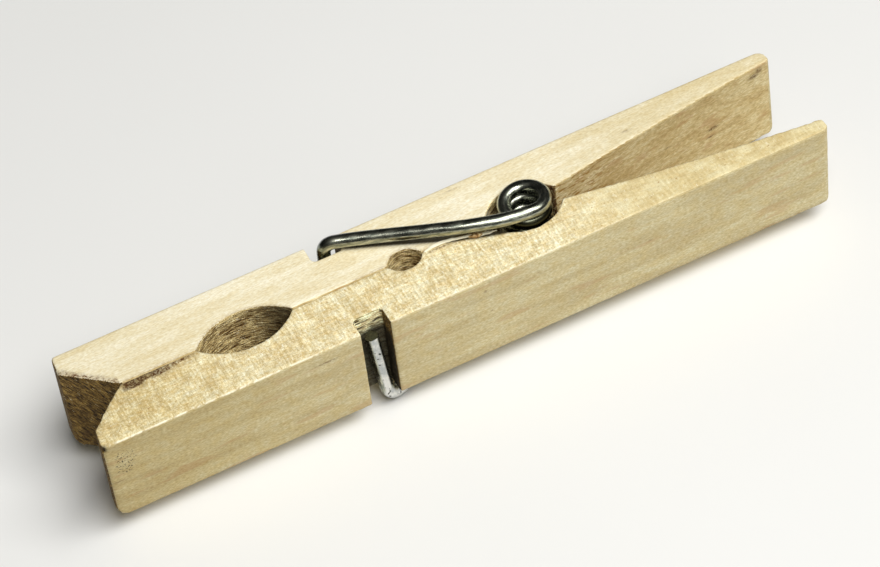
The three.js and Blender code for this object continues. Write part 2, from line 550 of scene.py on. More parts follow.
def torn_face(wood, depth=(0.6, 1.7), reach=1.9, stain=0.45, shade=0.80, shade_start=(39.4, 40.6)):
    """The front half's torn edge beside the coil: stained, and nearest the coil darkened with painted shade
    under the wire.
    """
    along = smoothstep(wood.station, TEAR.start + 2, TEAR.deepest) * (wood.station < TEAR.end + 1)
    face = along * (1 - smoothstep(wood.depth, *depth)) * wood.cut * wood.near_top(reach)
    wood.add("stain", stain * face)
    # painted shade on the torn face nearest the coil, under the wire
    wood.add("shade", shade * face * wood.past(shade_start))


def front_marks(wood, pit_shade=1.4, patch_gain=1.6, calm=0.55, calm_start=(42, 54)):
    """The front half's marks, pitted patch, pit at the tip and calmer handle."""
    wood.add("stain", wood.outer * marks(wood.station, wood.height, FRONT_OUTER_MARKS))
    patch = marks(wood.station, wood.height, PITTED_PATCH)
    wood.add("pitted", wood.outer * np.minimum(patch_gain * patch, 1))
    wood.add("shade", pit_shade * tip_pit(wood.station, wood.depth, wood.height))
    wood.add("calm", calm * wood.past(calm_start) * wood.flat)


def back_marks(wood, shade=0.15):
    """The back half's marks."""
    on_handle = wood.handle * marks(wood.station, wood.height, HANDLE_MARKS)
    wood.add("stain", wood.flat * marks(wood.station, wood.depth, BACK_TOP_MARKS))
    wood.add("stain", on_handle)
    wood.add("shade", shade * on_handle)


def bevel_edge(wood, start=0.25, end=0.95, uneven=0.4, stain=0.70, blotches=0.6):
    """The back half's brown edge along the jaw's bevel."""
    blunt = OUTER - JAW.blunt
    past = wood.depth - (blunt - wood.station * (blunt - INNER) / JAW.mouth)
    fade = smoothstep(past, start, end + uneven * wood.rough)
    edge = (wood.station < JAW.mouth) * (1 - fade) * wood.flat
    wood.add("stain", (stain + blotches * wood.fine) * edge)


def hole_depth(station):
    """How far the round cuts reach into a half at each station."""
    reach = np.full(len(station), INNER)
    for cut in (LINE_HOLE, SMALL_HOLE):
        radius = cut_radius(cut)
        across = np.sqrt(np.maximum(radius**2 - (station - cut.station) ** 2, 0))
        reach = np.maximum(reach, INNER + cut.depth - radius + across)
    return reach


def back_holes(
    wood, shade=0.75, far_side=(0.5, 4), depth=3, rim=0.4, fade=(0.05, 0.35), uneven=0.1, gap=(21, 27)
):
    """The shaded far side of the back half's line hole, and the brown rim of both holes."""
    station = wood.station
    from_middle = station - LINE_HOLE.station
    in_hole = (np.abs(from_middle) < LINE_HOLE.half_chord) & (wood.depth < depth)
    wood.add("shade", shade * in_hole * smoothstep(from_middle, *far_side) * wood.cut)
    faded = smoothstep(wood.depth - hole_depth(station), fade[0], fade[1] + uneven * wood.rough)
    along = ((station < gap[0]) | (station > gap[1])) & (station > JAW.mouth)
    wood.add("stain", rim * (1 - faded) * along * wood.flat)


def tan_ends(wood, jaw=(4, 18), handle=(45, 57), outer=(7, 26), front_handle=0.95, back_jaw=0.35, uneven=0.7):
    """Both halves are browner towards their ends, the front one also on its outer face."""
    jaw_end, handle_end = wood.before(jaw), wood.past(handle)
    if wood.side < 0:
        on_outer = wood.outer * wood.before(outer)
        wood.add("tan", wood.flat * np.maximum(jaw_end, front_handle * handle_end) + on_outer)
    else:
        uneven_end = handle_end * (1 + uneven * wood.rough)
        wood.add("tan", wood.flat * np.maximum(back_jaw * jaw_end, uneven_end))


def under_arm(wood, coil=1.3, start=(0.8, 2.5), forward=0.28, spread=(0.80, 0.14), dark=(0.94, 1.0), reach=1.2):
    """Shade on the top under the spring's upper arm. spread is behind the arm and in front of it."""
    x, y = wood.points[:, 0], wood.points[:, 1]
    route, _ = wire_route()
    arm = route[(route[:, 2] > BASE + WOOD_WIDTH) & (route[:, 0] < PIVOT.x - coil * COIL.radius)]
    arm = arm[np.argsort(arm[:, 0])]
    under = smoothstep(x - arm[0, 0], *start) * (x < arm[-1, 0]) * wood.near_top(reach)
    away = np.interp(x, arm[:, 0], arm[:, 1]) - y - forward
    nearness = np.exp(-((away / np.where(away < 0, *spread)) ** 2))
    strength = np.interp(x, arm[[0, -1], 0], dark) * under * nearness
    wood.add("shade", (1 - wood.outer) * strength)


def notch_shade(wood, margin=0.2, skin=0.1, shade=0.92, end=(7.2, 8.4), uneven=0.5):
    """The dark lower part of the notch, behind the leg."""
    along = (wood.station > NOTCH.start - margin) & (wood.station < NOTCH.end + margin)
    in_notch = along & (wood.depth < OUTER - skin)
    low = 1 - smoothstep(wood.height + uneven * wood.rough, *end)
    wood.add("shade", shade * in_notch * wood.cut * low)


def seat_sides(wood, around=0.3, deeper=0.4, handle=(1.2, 3.2), shade=0.25, jaw=(-3.2, -2.4), painted_light=0.30):
    """The seat's handle side is stained red-brown and deepened with painted shade, and on the back half its jaw
    side is made paler with painted light.
    """
    from_middle = wood.station - SEAT.station
    inside = (np.abs(from_middle) < SEAT.radius + around) & (wood.depth < SEAT.depth + deeper)
    on_cut = inside * wood.cut
    handle_side = smoothstep(from_middle, *handle) * on_cut
    # the handle side's wall: stained red-brown, deepened with painted shade where it faces away from the light
    wood.add("stain", handle_side)
    wood.add("shade", shade * handle_side)
    if wood.side > 0:
        # painted light: the jaw side made paler where the coil shades it
        wood.add("frayed", painted_light * (1 - smoothstep(from_middle, *jaw)) * on_cut)


def handle_wear(wood, low=(0.2, 0.8), start=(44, 52), stain=0.22, torn_end=(50, 57)):
    """The stained bottom edge of the handle, and the torn grain on its inside near the coil."""
    edge = (1 - smoothstep(wood.height, *low)) * wood.past(start)
    wood.add("stain", stain * edge * wood.outer * (1 + wood.rough))
    wood.add("torn", wood.before(torn_end) * wood.handle)


PAINT_STEPS = {
    -1: (stained_strip, crack, pale_edge, torn_face, front_marks),
    1: (back_marks, bevel_edge, back_holes),
    0: (tan_ends, under_arm, notch_shade, seat_sides, handle_wear),
}


def paint(mesh, points, normals, side):
    """Paints a half for the wood's materials: what only that half has, then what both have."""
    wood = Wood(points, normals, side)
    for step in (*PAINT_STEPS[side], *PAINT_STEPS[0]):
        step(wood)
    for name, values in wood.painted.items():
        set_attribute(mesh, name, np.clip(values, 0, 1))


# ---- materials ----


class Nodes:
    """A material's node tree, with a short way to add and link nodes."""

    def __init__(self, name):
        self.material = bpy.data.materials.new(name)
        self.material.use_nodes = True
        self.tree = self.material.node_tree
        self.shader = self.tree.nodes["Principled BSDF"]

    def add(self, kind, inputs=None, **settings):
        node = self.tree.nodes.new(kind)
        for name, value in settings.items():
            setattr(node, name, value)
        for name, value in (inputs or {}).items():
            self.put(node.inputs[name], value)
        return node

    def put(self, socket, value):
        if isinstance(value, bpy.types.NodeSocket):
            self.tree.links.new(value, socket)
        else:
            socket.default_value = value

    def math(self, operation, first, second=0.0, clamp=False):
        node = self.add("ShaderNodeMath", operation=operation, use_clamp=clamp)
        self.put(node.inputs[0], first)
        self.put(node.inputs[1], second)
        return node.outputs[0]

    def times(self, first, second, clamp=False):
        return self.math("MULTIPLY", first, second, clamp)

    def mix(self, share, first, second, blend="MIX"):
        node = self.add("ShaderNodeMix", data_type="RGBA", blend_type=blend)
        self.put(node.inputs[0], share)
        self.put(node.inputs[6], first)
        self.put(node.inputs[7], second)
        return node.outputs[2]

    def places(self, scale, way=(1, 0, 0)):
        """The object's own coordinates, in cells per millimetre along way and across it."""
        coordinates = self.add("ShaderNodeTexCoord").outputs["Object"]
        turn = Vector((1, 0, 0)).rotation_difference(Vector(way)).to_euler()
        inputs = {"Vector": coordinates, "Rotation": turn, "Scale": [MM / cells for cells in scale]}
        return self.add("ShaderNodeMapping", inputs, vector_type="TEXTURE").outputs["Vector"]

    def noise(self, scale, detail=3.0, distortion=0.0, way=(1, 0, 0)):
        inputs = {"Vector": self.places(scale, way), "Scale": 1.0, "Detail": detail}
        inputs |= {"Roughness": 0.6, "Distortion": distortion}
        return self.add("ShaderNodeTexNoise", inputs).outputs["Fac"]

    def ramp(self, share, stops):
        node = self.add("ShaderNodeValToRGB", {"Fac": share})
        elements = node.color_ramp.elements
        while len(elements) < len(stops):
            elements.new(0.5)
        for element, (place, colour) in zip(elements, stops):
            element.position = place
            element.color = colour
        return node.outputs["Color"]

    def range(self, share, low, high, to_low=0.0, to_high=1.0):
        inputs = {"Value": share, "From Min": low, "From Max": high, "To Min": to_low, "To Max": to_high}
        return self.add("ShaderNodeMapRange", inputs).outputs["Result"]

    def bump(self, height, strength, distance):
        inputs = {"Height": height, "Strength": strength, "Distance": distance}
        return self.add("ShaderNodeBump", inputs).outputs["Normal"]

    def finish(self, colour, roughness, inputs):
        """Sets the shader's inputs, and gives the material."""
        for name, value in {"Base Color": colour, "Roughness": roughness, **inputs}.items():
            self.put(self.shader.inputs[name], value)
        return self.material

    def painted(self, name):
        return self.add("ShaderNodeAttribute", attribute_name=name).outputs["Fac"]


def shade_of(red, green, blue):
    """A screen colour, from 0 to 255, as the shader's linear colour."""
    return tuple(
        c / 12.92 if c <= 0.04045 else ((c + 0.055) / 1.055) ** 2.4
        for c in (red / 255, green / 255, blue / 255)
    ) + (1.0,)


RED_BROWN = shade_of(98, 62, 28)
OLIVE_DARK = shade_of(42, 35, 20)
PALE_AND_PAINTED_LIGHT_WHITE = shade_of(255, 250, 226)
TAN_SHADE = (0.86, 0.82, 0.72, 1)
WARMER = (-0.3, 0.0, 0.7)    # the powers of red, green and blue for a warmth of 1

# Each look has tones from dark to light, which follow its grain; layers, each a noise that darkens or
# lightens them between two factors, and how much warmer its dark side is; and spots, each a noise that shows
# a tone where it passes a threshold, with a strength and sometimes the paint that it keeps to.
# Grain, layers and spots are in cells per millimetre along the length, the depth and the height.
WOOD_LOOKS = {
    "sawn_rough": Named(
        tones=[(228, 211, 164), (239, 226, 182), (247, 238, 200)],
        grain=(0.5, 0.8, 0.8),
        layers=[
            ((9.0, 9.0, 9.0), 0.76, 1.14, 0.7), ((4.0, 4.0, 4.0), 0.80, 1.12, 1.1),
            ((5.0, 0.8, 0.8), 0.79, 1.16, 0.6), ((0.8, 6.0, 6.0), 0.88, 1.10, 0.0),
            ((1.8, 1.8, 1.8), 0.94, 1.04, 2.5),
        ],
        spots=[((3.0, 4.5, 3.0), 0.66, (176, 132, 70), 0.70), ((7.0, 1.6, 1.6), 0.64, (254, 250, 230), 0.80)],
        bump=0.45, roughness=0.85,
    ),
    "sawn_smooth": Named(
        tones=[(235, 222, 185), (241, 231, 199), (247, 239, 212)],
        grain=(0.14, 0.8, 0.8),
        layers=[
            ((2.5, 9.0, 9.0), 0.84, 1.10, 0.7), ((0.8, 5.0, 5.0), 0.96, 1.03, 1.6),
            ((3.6, 3.6, 3.6), 0.96, 1.03, 1.6),
        ],
        spots=[((0.6, 4.5, 4.5), 0.69, (214, 180, 116), 0.35)],
        bump=0.15, roughness=0.7,
    ),
    "planed": Named(
        tones=[(193, 178, 136), (201, 187, 144), (208, 196, 155)],
        grain=(0.12, 0.9, 0.8),
        layers=[
            ((3.0, 9.0, 9.0), 0.76, 1.18, 0.7), ((0.6, 3.5, 4.5), 0.94, 1.04, 1.6),
            ((0.8, 1.0, 1.0), 0.95, 1.03, 2.6),
        ],
        spots=[
            ((2.5, 7.0, 7.0), 0.70, (140, 110, 72), 0.55),
            ((0.15, 0.8, 1.0), 0.60, (186, 152, 110), 0.40),
        ],
        bump=0.2, roughness=0.65,
    ),
    "bevel": Named(
        tones=[(97, 69, 24), (114, 83, 30), (133, 99, 40)],
        grain=(0.5, 1.4, 1.4),
        layers=[((1.6, 7.0, 7.0), 0.05, 2.20, 0.6), ((8.0, 8.0, 8.0), 0.50, 1.50, 0.8)],
        # the first spot is painted glints: bright specks of light on the cut fibres
        spots=[((1.8, 8.0, 8.0), 0.67, (244, 226, 180), 0.90), ((0.8, 1.2, 1.2), 0.62, (72, 48, 26), 0.40)],
        bump=0.9, roughness=0.75,
    ),
    "bore": Named(
        tones=[(179, 147, 84), (203, 172, 102), (224, 195, 124)],
        grain=(0.6, 0.6, 1.6),
        layers=[((1.2, 1.2, 5.5), 0.15, 1.95, 0.7), ((8.0, 8.0, 8.0), 0.50, 1.50, 0.7)],
        # the first spot is painted glints: bright specks of light on the cut fibres
        spots=[((1.5, 1.5, 6.0), 0.65, (255, 244, 210), 0.90), ((1.0, 1.0, 3.0), 0.63, (84, 60, 32), 0.70)],
        bump=0.8, roughness=0.75,
    ),
    # The notch's tones are lighter than the top's: painted light where the notch's walls keep light off its
    # floor.
    "notch": Named(
        tones=[(250, 226, 160), (255, 240, 175), (255, 250, 190)],
        grain=(0.7, 0.9, 1.6),
        layers=[((1.0, 3.0, 7.0), 0.20, 1.60, 0.7), ((8.0, 8.0, 8.0), 0.60, 1.30, 0.7)],
        spots=[((0.6, 1.5, 3.6), 0.57, (48, 38, 24), 0.95)],
        bump=0.8, roughness=0.8,
    ),
    "torn_knot": Named(
        tones=[(160, 124, 80), (206, 172, 118), (238, 214, 164)],
        grain=(2.0, 2.0, 2.0),
        layers=[((5.0, 5.0, 5.0), 0.60, 1.25, 0.3)],
        spots=[((3.0, 3.0, 3.0), 0.58, (120, 78, 40), 0.70)],
        bump=0.5, roughness=0.8,
    ),
    # Its tones are the face's own tan, lifted with painted light where the front half keeps light off it.
    "handle_inside": Named(
        tones=[(201, 177, 125), (213, 193, 141), (223, 207, 160)],
        grain=(0.3, 0.8, 1.0),
        layers=[
            ((2.5, 9.0, 9.0), 0.76, 1.18, 0.7), ((0.8, 5.0, 5.0), 0.90, 1.08, 1.3),
            ((3.6, 3.6, 3.6), 0.95, 1.04, 0.8),
        ],
        spots=[
            # painted glints: bright specks of light on the fibres
            ((0.9, 6.0, 6.0), 0.71, (250, 238, 200), 0.80),
            ((0.25, 0.9, 0.9), 0.60, (190, 150, 104), 0.45),
            ((0.5, 3.6, 3.6), 0.53, (160, 118, 48), 0.90, "torn"),
            # painted glints on the torn grain
            ((0.7, 6.0, 6.0), 0.60, (252, 240, 204), 0.90, "torn"),
        ],
        bump=0.35, roughness=0.7,
    ),
}

TONE_PLACES = (0.38, 0.50, 0.62)    # where the three tones lie in the grain's noise
NOISE_ENDS = (0.3, 0.7)             # most of a noise lies between these
SPOT_EDGE = 0.06
# The scale, and the two ends of the noise and of what it is turned into.
STAIN_PATCHES = ((6.0, 6.0, 6.0), 0.35, 0.65, 0.35, 1.35)
PITS = ((5.5, 5.5, 5.5), 0.57, 0.63, 0.0, 0.85)


def light_factors(darkest, lightest, warmth):
    """A layer's factors at its dark end, which is warmer, and at its light end."""
    return (tuple(end ** (1 + power * warmth) for power in WARMER) + (1,) for end in (darkest, lightest))


def wood_material(name, look, way=(1, 0, 0)):
    """Tones along the grain, with layers, spots, paints and pits over them."""
    nodes = Nodes(name)
    grain = nodes.noise(look.grain, detail=4.0, distortion=0.3, way=way)
    tones = [shade_of(*tone) for tone in look.tones]
    plain = nodes.ramp(grain, list(zip(TONE_PLACES, tones)))
    colour = plain
    height = nodes.times(grain, 0.5)
    for scale, darkest, lightest, warmth in look.layers:
        layer = nodes.noise(scale, detail=1.0, way=way)
        factor = nodes.mix(nodes.range(layer, *NOISE_ENDS), *light_factors(darkest, lightest, warmth))
        colour = nodes.mix(1.0, colour, factor, blend="MULTIPLY")
        height = nodes.math("ADD", height, nodes.times(layer, lightest - darkest))
    colour = nodes.mix(nodes.painted("calm"), colour, plain)

    for scale, threshold, tone, strength, *paints in look.spots:
        spot = nodes.noise(scale, detail=2.0, way=way)
        spot = nodes.range(spot, threshold, threshold + SPOT_EDGE, 0.0, strength)
        for name in paints:
            spot = nodes.times(spot, nodes.painted(name))
        colour = nodes.mix(spot, colour, shade_of(*tone))

    patch_scale, *patch_range = STAIN_PATCHES
    patches = nodes.range(nodes.noise(patch_scale, detail=1.0), *patch_range)
    red_brown_share = nodes.times(nodes.painted("stain"), patches, clamp=True)
    colour = nodes.mix(nodes.painted("tan"), colour, TAN_SHADE, blend="MULTIPLY")
    # near white: pale fibres and fraying, and painted light and painted highlights
    colour = nodes.mix(nodes.painted("frayed"), colour, PALE_AND_PAINTED_LIGHT_WHITE)
    # red-brown: real stains, and painted shade on the seat's handle side
    colour = nodes.mix(red_brown_share, colour, RED_BROWN)
    # olive dark: dark marks, and painted shade under the arm, beside the coil and in the hollows
    colour = nodes.mix(nodes.painted("shade"), colour, OLIVE_DARK)
    pit_scale, *pit_range = PITS
    pits = nodes.times(nodes.painted("pitted"), nodes.noise(pit_scale, detail=1.0))
    colour = nodes.mix(nodes.range(pits, *pit_range), colour, OLIVE_DARK)
    rough = look.roughness
    roughness = nodes.range(grain, *NOISE_ENDS, rough + 0.1, rough - 0.08)
    bump = nodes.bump(height, look.bump, 0.08 * MM)
    return nodes.finish(colour, roughness, {"Normal": bump, "Specular IOR Level": 0.25})


STEEL_TONES = [
    (0.35, shade_of(116, 122, 111)),
    (0.50, shade_of(157, 160, 146)),
    (0.65, shade_of(194, 194, 176)),
]
PLATED_TONES = [(0.40, shade_of(178, 182, 182)), (0.60, shade_of(222, 222, 218))]
PIT_TONE = shade_of(34, 32, 28)
CUT_TONE = shade_of(92, 94, 84)
# the colour of the painted shade on the coil's lower turns
PAINTED_COIL_SHADE_TONE = shade_of(66, 66, 50)
STEEL_PITS = (0.64, 0.68)
STEEL_ROUGH = (0.20, 0.34)
WORN_ROUGHER = 0.06


def steel_material():
    """Drawn lines along the wire, with plated patches and pits where it is worn."""
    nodes = Nodes("spring_steel")
    wire = nodes.add("ShaderNodeAttribute", attribute_name="wire").outputs["Vector"]

    def drawn(scale, detail=3.0):
        mapping = nodes.add("ShaderNodeMapping", {"Vector": wire, "Scale": scale})
        inputs = {"Vector": mapping.outputs["Vector"], "Scale": 1.0, "Detail": detail}
        return nodes.add("ShaderNodeTexNoise", inputs).outputs["Fac"]

    lines = drawn((1.2, 6.0, 6.0))
    patches = drawn((0.9, 1.2, 1.2))
    pits = drawn((3.2, 3.2, 3.2), 1.0)
    worn = nodes.painted("worn")
    pit = nodes.times(nodes.range(pits, *STEEL_PITS), worn)
    colour = nodes.mix(worn, nodes.ramp(lines, STEEL_TONES), nodes.ramp(patches, PLATED_TONES))
    colour = nodes.mix(pit, colour, PIT_TONE)
    colour = nodes.mix(nodes.painted("cut_end"), colour, CUT_TONE)
    # painted shade on the coil's lower turns where they face the front
    colour = nodes.mix(nodes.painted("painted_coil_shade"), colour, PAINTED_COIL_SHADE_TONE)
    rough = nodes.range(patches, *NOISE_ENDS, *STEEL_ROUGH)
    height = nodes.math("SUBTRACT", nodes.times(lines, 0.5), pit)
    roughness = nodes.math("ADD", rough, nodes.times(worn, WORN_ROUGHER))
    return nodes.finish(colour, roughness, {"Normal": nodes.bump(height, 0.35, 0.03 * MM), "Metallic": 1.0})


# How far a face's normal points one way, at least, for its look.
FACE_INWARD, FACE_ALONG, FACE_OUTWARD, FACE_FLAT = 0.4, 0.5, 0.6, 0.62
NOTCH_AROUND = 0.3
NOTCH_SKIN = SEAT.depth + 0.5
END_SKIN = 0.1


def assign_looks(mesh, side, materials):
    """Gives each face the look of its zone. A later zone wins."""
    order = list(materials)
    for material in materials.values():
        mesh.materials.append(material)
    normals, centres = rows(mesh.polygons, "normal"), rows(mesh.polygons, "center")
    station, depth, _ = places(centres, side)
    inward = -side * normals[:, 1]
    in_notch = (station > NOTCH.start - NOTCH_AROUND) & (station < NOTCH.end + NOTCH_AROUND)
    in_notch &= depth > NOTCH_SKIN
    on_handle = (station > HANDLE_START + 0.1) | (depth < PARTING_SKIN)
    at_end = station > LENGTH - END_SKIN
    zones = {
        "bore": np.ones(len(centres), bool),
        "handle_inside": (inward > FACE_INWARD) & on_handle,
        "bevel": (station < JAW_REACH) | (in_notch & (np.abs(normals[:, 0]) > FACE_ALONG)),
        "notch": in_notch & (inward < -FACE_OUTWARD),
        "planed": ((inward < -FACE_OUTWARD) & (depth > OUTER_SKIN)) | at_end,
        "sawn_rough" if side < 0 else "sawn_smooth": np.abs(normals[:, 2]) > FACE_FLAT,
    }
    index = np.zeros(len(centres), np.int32)
    for name, where in zones.items():
        index[where] = order.index(name)
    mesh.polygons.foreach_set("material_index", index)
    mesh.update()


def wooden_half(name, node, body, side, looks):
    """One half of the pin, finely meshed and painted."""
    mesh = dense(block(side))
    points = rows(mesh.vertices, "co")
    set_coordinates(mesh, torn_edge(sawn_ends(points, side), side))
    points, normals = rows(mesh.vertices, "co"), rows(mesh.vertex_normals, "vector")
    bevel = wood_material("bevel_" + body, WOOD_LOOKS["bevel"], bevel_way(side))
    assign_looks(mesh, side, {**looks, "bevel": bevel})
    paint(mesh, points, normals, side)
    set_coordinates(mesh, points + normals * relief(points, normals, side)[:, None])
    piece = finished(name, mesh)
    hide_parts(node)
    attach(piece, body)
    return piece


# ---- spring ----


def coil_points():
    """The coil from its top end to its bottom end, and its direction at both ends."""
    sweep = 2 * (math.pi * COIL.turns + LEAVE_ANGLE)
    slope = (COIL.bottom - COIL.top) / sweep
    turn = np.linspace(0, sweep, int(sweep * COIL.radius / WIRE_STEP))
    angle = turn - LEAVE_ANGLE
    x = PIVOT.x + COIL.radius * np.cos(angle)
    y = PIVOT.y + COIL.radius * np.sin(angle)
    z = BASE + COIL.top + slope * turn
    ways = [
        unit(np.array([-COIL.radius * math.sin(a), COIL.radius * math.cos(a), slope]))
        for a in (angle[0], angle[-1])
    ]
    return np.stack([x, y, z], 1), ways


def wire_end(end, side, coil_point, coil_way):
    """One end of the wire, from the cut end of its leg to the coil."""
    corner, cut = (
        np.array([TIP + station, side * LEG_DEPTH, BASE + height])
        for station, height in (end.corner, end.cut)
    )
    bend_start = corner - unit(corner - cut) * end.bend
    arm_way = unit(coil_point - corner)
    bend_end = corner + arm_way * end.bend
    arm_length = np.linalg.norm(coil_point - bend_end)
    out = bend_end + arm_way * ARM_PULL.bend * arm_length
    back = coil_point - coil_way * np.array([1, 1, end.kept_slope]) * ARM_PULL.coil * arm_length
    leg = cut + np.linspace(0, 1, ARC_STEPS)[:, None] * (bend_start - cut)
    bend = curve(bend_start, corner, bend_end)[1:]
    arm = curve(bend_end, out, back, coil_point, steps=3 * ARC_STEPS)[1:-1]
    return np.vstack([leg, bend, arm])


def wire_route():
    """The whole wire as even points, and how far along it each one lies."""
    turns, (top_way, bottom_way) = coil_points()
    top = wire_end(UPPER_END, 1, turns[0], top_way)
    bottom = wire_end(LOWER_END, -1, turns[-1], -bottom_way)
    path = np.vstack([top, turns, bottom[::-1]])
    along = np.concatenate([[0], np.cumsum(np.linalg.norm(np.diff(path, axis=0), axis=1))])
    even = np.linspace(0, along[-1], int(along[-1] / WIRE_STEP))
    return np.stack([np.interp(even, along, path[:, axis]) for axis in range(3)], 1), even


def wire_frame(path):
    """Two directions across the wire at each point, carried along it without twisting."""
    tangents = np.gradient(path, axis=0)
    tangents /= np.linalg.norm(tangents, axis=1)[:, None]
    across = [unit(np.cross(tangents[0], (1.0, 0.0, 0.0)))]
    for tangent in tangents[1:]:
        across.append(unit(across[-1] - tangent * np.dot(across[-1], tangent)))
    return np.array(across), np.cross(tangents, np.array(across))


# The wire's wear, and where painted shade falls on the coil's lower turns. Places along the wire are counted
# from its nearer end.
ROUNDED_END = 0.06          # the share of the radius that is lost at an end, and how far the loss reaches
LEG_END = (10.0, 11.5)
BEND_START = (7.0, 8.6)
WORN_FLAT = 0.90            # the share of the radius beyond which a leg is worn away
BARED = (0.80, 0.90)        # the share of the radius beyond which a leg is bared
BARED_WIDER = (0.7, 0.5)    # how much smaller that share is in the bend
PAINTED_SHADE_BELOW = (0.55, 0.8)
PAINTED_SHADE_FORWARD = (0.6, 1.6)
DENTS = Named(cells=(2.4, 2.2, 2.2), seed=41, range=(0.45, 0.85), depth=0.025)


def wire_shell(path, along):
    """The worn wire's vertices, their places on the drawn wire, how bared they are, and how much painted shade
    they take.
    """
    across, up = wire_frame(path)
    angles = np.linspace(0, 2 * math.pi, RING_SIDES, endpoint=False)
    cosines, sines = np.cos(angles), np.sin(angles)
    ends = np.minimum(along, along[-1] - along)
    radius = WIRE_RADIUS * (1 - ROUNDED_END * np.exp(-ends / ROUNDED_END))
    ring = cosines[None, :, None] * across[:, None] + sines[None, :, None] * up[:, None]
    shell = (path[:, None] + ring * radius[:, None, None]).reshape(-1, 3)
    place = np.broadcast_arrays(along[:, None], WIRE_RADIUS * cosines[None], WIRE_RADIUS * sines[None])
    place = np.stack(place, -1).reshape(-1, 3)

    legs = np.repeat(1 - smoothstep(ends, *LEG_END), RING_SIDES)
    bent = np.repeat(smoothstep(ends, *BEND_START), RING_SIDES)
    outward = np.repeat(np.sign(path[:, 1]), RING_SIDES)
    proud = (shell[:, 1] - np.repeat(path[:, 1], RING_SIDES)) * outward / WIRE_RADIUS
    shell[:, 1] -= np.maximum(proud - WORN_FLAT, 0) * WIRE_RADIUS * outward * legs
    start, whole = (share - wider * bent for share, wider in zip(BARED, BARED_WIDER))
    bared = legs * smoothstep(proud, start, whole)

    # turns under the top one are painted darker where they face the front: painted shade under the top turn
    painted_coil_shade = smoothstep(BASE + COIL.top - shell[:, 2], *PAINTED_SHADE_BELOW) * smoothstep(-shell[:, 1], *PAINTED_SHADE_FORWARD)
    painted_coil_shade *= np.abs(shell[:, 0] - PIVOT.x) < COIL.radius + WIRE_RADIUS
    dents = smoothstep(noise(place * np.array(DENTS.cells), DENTS.seed), *DENTS.range)
    shell -= ring.reshape(-1, 3) * (DENTS.depth * dents * legs)[:, None]
    return shell, place, bared, painted_coil_shade


def wire_spring(material):
    """The whole spring, with capped ends."""
    path, along = wire_route()
    shell, place, bared, painted_coil_shade = wire_shell(path, along)
    # each cut end has its own ring, so that its rim stays sharp
    first, last = slice(None, RING_SIDES), slice(-RING_SIDES, None)
    caps = np.vstack([shell[first], path[:1], shell[last], path[-1:]])
    places_on_caps = [place[first], [[0, 0, 0]], place[last], [[along[-1], 0, 0]]]
    faces = tube_faces(len(path), RING_SIDES)
    for start, flip in ((len(shell), 1), (len(shell) + RING_SIDES + 1, -1)):
        for side in range(RING_SIDES):
            after = (side + 1) % RING_SIDES
            faces.append((start + RING_SIDES, start + after, start + side)[::flip])

    mesh = bpy.data.meshes.new("spring_wire")
    mesh.from_pydata(np.vstack([shell, caps]), [], faces)
    wire = np.vstack([place, *places_on_caps]).astype(np.float32)
    mesh.attributes.new("wire", "FLOAT_VECTOR", "POINT").data.foreach_set("vector", wire.ravel())
    on_caps = np.zeros(len(caps))
    set_attribute(mesh, "worn", np.concatenate([bared, on_caps]))
    set_attribute(mesh, "painted_coil_shade", np.concatenate([painted_coil_shade, on_caps]))
    set_attribute(mesh, "cut_end", np.concatenate([np.zeros(len(shell)), on_caps + 1]))
    mesh.materials.append(material)
    piece = finished("spring_wire", mesh)
    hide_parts("spring")
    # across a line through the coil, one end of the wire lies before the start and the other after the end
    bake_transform(piece)
    return piece


# ---- torn fibres beside the coil ----


STRAND_STEPS = 48
STRAND_SIDES = 10
STRAND_ROUNDS = 3
STRAND_ROUGH = Named(size=0.035, cells=2.5)


def strand(name, path, widths, thickness, material, seed, frayed=0.0):
    """A torn fibre on the front half. Its path is in stations, depths and heights above the top."""
    path = np.array([(TIP + station, -depth, BASE + WOOD_WIDTH + rise) for station, depth, rise in path])
    fine = np.linspace(0, 1, STRAND_STEPS)
    share = np.linspace(0, 1, len(path))
    line = np.stack([np.interp(fine, share, path[:, axis]) for axis in range(3)], 1)
    for _ in range(STRAND_ROUNDS):
        line[1:-1] = (line[:-2] + 2 * line[1:-1] + line[2:]) / 4
    width = np.interp(fine, np.linspace(0, 1, len(widths)), widths)
    angles = np.linspace(0, 2 * math.pi, STRAND_SIDES, endpoint=False)
    rings = []
    for point, tangent, wide in zip(line, np.gradient(line, axis=0), width):
        across = unit(np.cross((0, 0, 1), tangent))
        up = unit(np.cross(tangent, across))
        ring = np.cos(angles)[:, None] * across * wide / 2 + np.sin(angles)[:, None] * up * thickness / 2
        rings.append(point + ring)
    points = np.array(rings).reshape(-1, 3)
    rough = [noise(points * STRAND_ROUGH.cells, seed + axis) for axis in range(3)]
    points += STRAND_ROUGH.size * np.stack(rough, 1)

    build = bmesh.new()
    verts = [build.verts.new(point) for point in points]
    for corners in tube_faces(STRAND_STEPS, STRAND_SIDES):
        build.faces.new([verts[corner] for corner in corners])
    build.faces.new(verts[:STRAND_SIDES][::-1])
    build.faces.new(verts[-STRAND_SIDES:])
    bmesh.ops.recalc_face_normals(build, faces=build.faces)
    mesh = bpy.data.meshes.new(name)
    build.to_mesh(mesh)
    build.free()
    # how near white the fibre is: pale torn wood, with painted light
    set_attribute(mesh, "frayed", np.full(len(points), frayed))
    mesh.materials.append(material)
    piece = finished(name, mesh)
    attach(piece, "front")
    return piece


# ---- make the pieces ----

looks = {name: wood_material(name, look) for name, look in WOOD_LOOKS.items() if name != "bevel"}
knot_wood = looks.pop("torn_knot")
wooden_half("front_wood", "front_half", "front", -1, looks)
wooden_half("back_wood", "back_half", "back", 1, looks)
wire_spring(steel_material())

